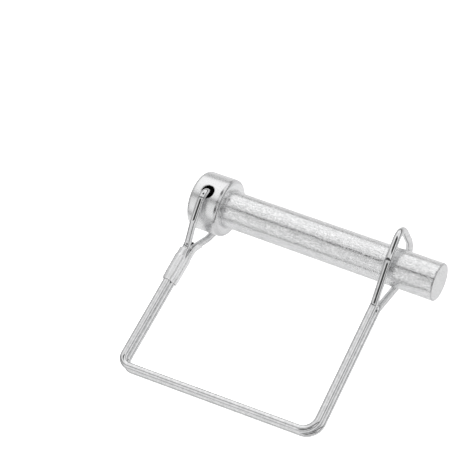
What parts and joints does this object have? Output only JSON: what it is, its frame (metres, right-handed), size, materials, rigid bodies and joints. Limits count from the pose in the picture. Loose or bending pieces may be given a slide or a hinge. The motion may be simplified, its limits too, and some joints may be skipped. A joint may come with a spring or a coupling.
{
  "type": "hitch pin lock",
  "caption": "Headed steel locking pin with a square two-strand spring wire bail whose loop snaps over the shank's tip.",
  "frame": {"origin": "centre of the head collar's shoulder face, on the pin's axis", "axes": "+X along the pin from the head to the tip, +Z along the cross hole in the head, and the bail lies towards -Y"},
  "size_m": [0.0889, 0.0765, 0.025],
  "materials": {
    "shank": "rough zinc plating",
    "head": "smooth satin zinc plating",
    "wire": "bright zinc plated spring wire",
    "ferrule": "satin zinc plating"
  },
  "bodies": {
    "pin": {"shank": "shank", "head_collar": "head"},
    "bail_near": {"bail_wire_near": "wire", "ferrule": "ferrule"},
    "bail_far": {"bail_wire_far": "wire"}
  },
  "joints": [
    {"name": "bail_swing", "type": "hinge", "parent": "pin", "child": "bail_near", "pos_m": [-0.0059, 0, 0], "axis": [0, 0, 1], "range_deg": [0, 10]},
    {"name": "bail_flex", "type": "hinge", "parent": "bail_near", "child": "bail_far", "pos_m": [0.02562, -0.0617, 0], "axis": [0, 0, -1], "range_deg": [0, 19], "stiffness_Nm_per_rad": 2}
  ],
  "couplings": [
    {"joint": "bail_swing", "follows": "bail_flex", "ratio": 0.52}
  ]
}
